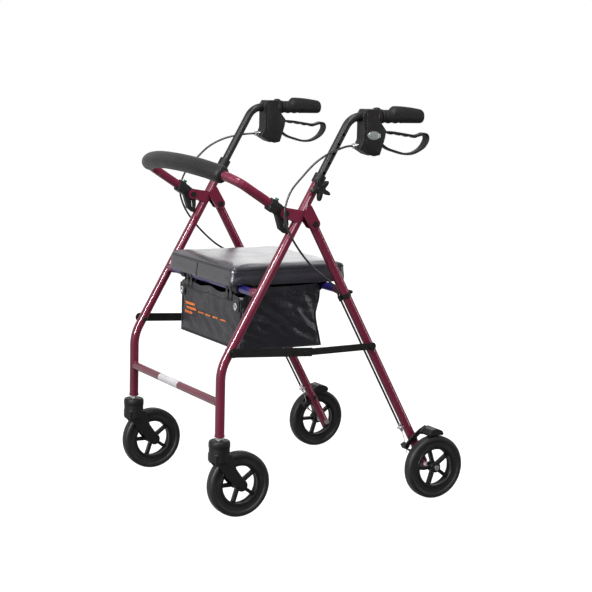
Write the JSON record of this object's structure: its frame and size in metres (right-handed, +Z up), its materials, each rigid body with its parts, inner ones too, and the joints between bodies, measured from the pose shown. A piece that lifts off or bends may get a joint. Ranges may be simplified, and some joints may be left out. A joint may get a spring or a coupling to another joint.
{
  "type": "rollator walker",
  "caption": "Folding rollator walker with castor front wheels, padded seat, under-seat bag, padded backrest, height-adjustable handles and loop brakes.",
  "frame": {"origin": "on the floor under the middle of the bounding box", "axes": "+X to the user's left, -Y in the direction of travel, +Z up"},
  "size_m": [0.611, 0.657, 0.9319],
  "materials": {
    "paint": "burgundy gloss powder coat",
    "navy_paint": "navy gloss powder coat",
    "black_paint": "satin black powder coat",
    "black_plastic": "fine-grained moulded black plastic",
    "steel": "zinc-plated hardware",
    "soft_tyre": "solid black tyre",
    "grip_rubber": "soft black rubber",
    "foam": "closed-cell foam sleeve",
    "vinyl": "satin black vinyl upholstery",
    "nylon": "coated nylon cloth",
    "label": "blank pale label",
    "green_plastic": "green push button"
  },
  "bodies": {
    "front_frame": {"left_front_leg": "paint", "right_front_leg": "paint", "lower_crossbar": "paint", "crossbar_label": "label", "seat_front_tube": "navy_paint", "rear_leg_brackets": "paint", "backrest_brackets": "paint", "height_collars": "black_plastic", "castor_stems": "steel", "frame_bolts": "black_paint", "bag": "nylon", "left_brake_cable": "black_plastic", "right_brake_cable": "black_plastic"},
    "rear_frame": {"left_rear_leg": "paint", "right_rear_leg": "paint", "rear_seat_tube": "navy_paint", "cable_clips": "black_plastic", "cable_stops": "steel", "rear_frame_bolts": "black_paint", "rear_axles": "steel", "brake_springs": "black_paint"},
    "front_braces": {"left_front_brace": "black_paint", "right_front_brace": "black_paint", "brace_rivets": "black_paint"},
    "rear_braces": {"left_rear_brace": "black_paint", "right_rear_brace": "black_paint"},
    "seat": {"seat_base": "black_plastic", "seat_clamps": "black_plastic", "seat_cushion": "vinyl"},
    "backrest_carrier": {"backrest_sockets": "black_plastic"},
    "backrest": {"backrest_tube": "paint", "backrest_pad": "foam"},
    "left_handle": {"left_handle_tube": "black_paint", "left_hand_grip": "grip_rubber", "left_brake_housing": "black_plastic"},
    "left_brake_lock": {"left_lock_cam": "steel"},
    "left_lever": {"left_brake_lever": "black_plastic"},
    "left_knob": {"left_height_knob": "black_plastic"},
    "left_button": {"left_release_button": "green_plastic"},
    "left_shoe_arm": {"left_brake_arm": "black_paint"},
    "left_rear_wheel": {"left_rear_rim": "black_plastic", "left_rear_tyre": "soft_tyre"},
    "left_castor": {"left_castor_fork": "black_plastic", "left_castor_axle": "black_paint"},
    "left_front_wheel": {"left_front_rim": "black_plastic", "left_front_tyre": "soft_tyre"},
    "right_handle": {"right_handle_tube": "black_paint", "right_hand_grip": "grip_rubber", "right_brake_housing": "black_plastic"},
    "right_brake_lock": {"right_lock_cam": "steel"},
    "right_lever": {"right_brake_lever": "black_plastic"},
    "right_knob": {"right_height_knob": "black_plastic"},
    "right_button": {"right_release_button": "green_plastic"},
    "right_shoe_arm": {"right_brake_arm": "black_paint"},
    "right_rear_wheel": {"right_rear_rim": "black_plastic", "right_rear_tyre": "soft_tyre"},
    "right_castor": {"right_castor_fork": "black_plastic", "right_castor_axle": "black_paint"},
    "right_front_wheel": {"right_front_rim": "black_plastic", "right_front_tyre": "soft_tyre"}
  },
  "joints": [
    {"name": "frame_fold", "type": "hinge", "parent": "front_frame", "child": "rear_frame", "pos_m": [0, -0.07347, 0.668], "axis": [-1, 0, 0], "range_deg": [0, 31], "deforming": ["bag", "left_brake_cable", "right_brake_cable"]},
    {"name": "front_brace_turn", "type": "hinge", "parent": "front_frame", "child": "front_braces", "pos_m": [0, -0.27741, 0.384], "axis": [1, 0, 0], "range_deg": [0, 45.94]},
    {"name": "rear_brace_turn", "type": "hinge", "parent": "rear_frame", "child": "rear_braces", "pos_m": [0, 0.08733, 0.376], "axis": [-1, 0, 0], "range_deg": [0, 45.93]},
    {"name": "seat_lift", "type": "hinge", "parent": "front_frame", "child": "seat", "pos_m": [0, -0.20591, 0.51037], "axis": [1, 0, 0], "range_deg": [0, 70]},
    {"name": "backrest_fold", "type": "hinge", "parent": "front_frame", "child": "backrest_carrier", "pos_m": [0, -0.14947, 0.694], "axis": [-1, 0, 0], "range_deg": [0, 55]},
    {"name": "backrest_pull", "type": "slide", "parent": "backrest_carrier", "child": "backrest", "axis": [0, -0.8434, 0.5373], "range_m": [0, 0.028]},
    {"name": "left_handle_height", "type": "slide", "parent": "front_frame", "child": "left_handle", "axis": [0, 0.4924, 0.8704], "range_m": [-0.075, 0.075], "deforming": ["left_brake_cable"]},
    {"name": "left_lock_turn", "type": "hinge", "parent": "left_handle", "child": "left_brake_lock", "pos_m": [0.245, 0.08053, 0.88], "axis": [-1, 0, 0], "range_deg": [0, 12]},
    {"name": "left_lever_squeeze", "type": "hinge", "parent": "left_brake_lock", "child": "left_lever", "pos_m": [0.245, 0.08053, 0.88], "axis": [1, 0, 0], "range_deg": [0, 9], "stiffness_Nm_per_rad": 3, "springref_deg": -11.46},
    {"name": "left_shoe_press", "type": "hinge", "parent": "rear_frame", "child": "left_shoe_arm", "pos_m": [0.245, 0.21499, 0.14417], "axis": [-1, 0, 0], "range_deg": [0, 3]},
    {"name": "left_knob_turn", "type": "hinge", "parent": "front_frame", "child": "left_knob", "pos_m": [0.245, -0.07148, 0.74797], "axis": [1, 0, 0], "continuous": true},
    {"name": "left_button_push", "type": "slide", "parent": "backrest_carrier", "child": "left_button", "axis": [0, -0.5373, -0.8434], "range_m": [0, 0.002], "stiffness_N_per_m": 800, "springref_m": -0.001},
    {"name": "left_rear_wheel_spin", "type": "hinge", "parent": "rear_frame", "child": "left_rear_wheel", "pos_m": [0.2885, 0.25253, 0.076], "axis": [1, 0, 0], "continuous": true},
    {"name": "left_castor_swivel", "type": "hinge", "parent": "front_frame", "child": "left_castor", "pos_m": [0.245, -0.29947, 0.15], "axis": [0, 0, 1], "continuous": true},
    {"name": "left_front_wheel_spin", "type": "hinge", "parent": "left_castor", "child": "left_front_wheel", "pos_m": [0.245, -0.24947, 0.076], "axis": [1, 0, 0], "continuous": true},
    {"name": "right_handle_height", "type": "slide", "parent": "front_frame", "child": "right_handle", "axis": [0, 0.4924, 0.8704], "range_m": [-0.075, 0.075], "deforming": ["right_brake_cable"]},
    {"name": "right_lock_turn", "type": "hinge", "parent": "right_handle", "child": "right_brake_lock", "pos_m": [-0.245, 0.08053, 0.88], "axis": [-1, 0, 0], "range_deg": [0, 12]},
    {"name": "right_lever_squeeze", "type": "hinge", "parent": "right_brake_lock", "child": "right_lever", "pos_m": [-0.245, 0.08053, 0.88], "axis": [1, 0, 0], "range_deg": [0, 9], "stiffness_Nm_per_rad": 3, "springref_deg": -11.46},
    {"name": "right_shoe_press", "type": "hinge", "parent": "rear_frame", "child": "right_shoe_arm", "pos_m": [-0.245, 0.21499, 0.14417], "axis": [-1, 0, 0], "range_deg": [0, 3]},
    {"name": "right_knob_turn", "type": "hinge", "parent": "front_frame", "child": "right_knob", "pos_m": [-0.245, -0.07148, 0.74797], "axis": [1, 0, 0], "continuous": true},
    {"name": "right_button_push", "type": "slide", "parent": "backrest_carrier", "child": "right_button", "axis": [0, -0.5373, -0.8434], "range_m": [0, 0.002], "stiffness_N_per_m": 800, "springref_m": -0.001},
    {"name": "right_rear_wheel_spin", "type": "hinge", "parent": "rear_frame", "child": "right_rear_wheel", "pos_m": [-0.2885, 0.25253, 0.076], "axis": [1, 0, 0], "continuous": true},
    {"name": "right_castor_swivel", "type": "hinge", "parent": "front_frame", "child": "right_castor", "pos_m": [-0.245, -0.29947, 0.15], "axis": [0, 0, 1], "continuous": true},
    {"name": "right_front_wheel_spin", "type": "hinge", "parent": "right_castor", "child": "right_front_wheel", "pos_m": [-0.245, -0.24947, 0.076], "axis": [1, 0, 0], "continuous": true}
  ],
  "couplings": [
    {"joint": "front_brace_turn", "follows": "frame_fold", "ratio": 1.4174},
    {"joint": "rear_brace_turn", "follows": "frame_fold", "ratio": 1.417},
    {"joint": "left_shoe_press", "follows": "left_lever_squeeze", "ratio": 0.33333},
    {"joint": "right_shoe_press", "follows": "right_lever_squeeze", "ratio": 0.33333}
  ]
}
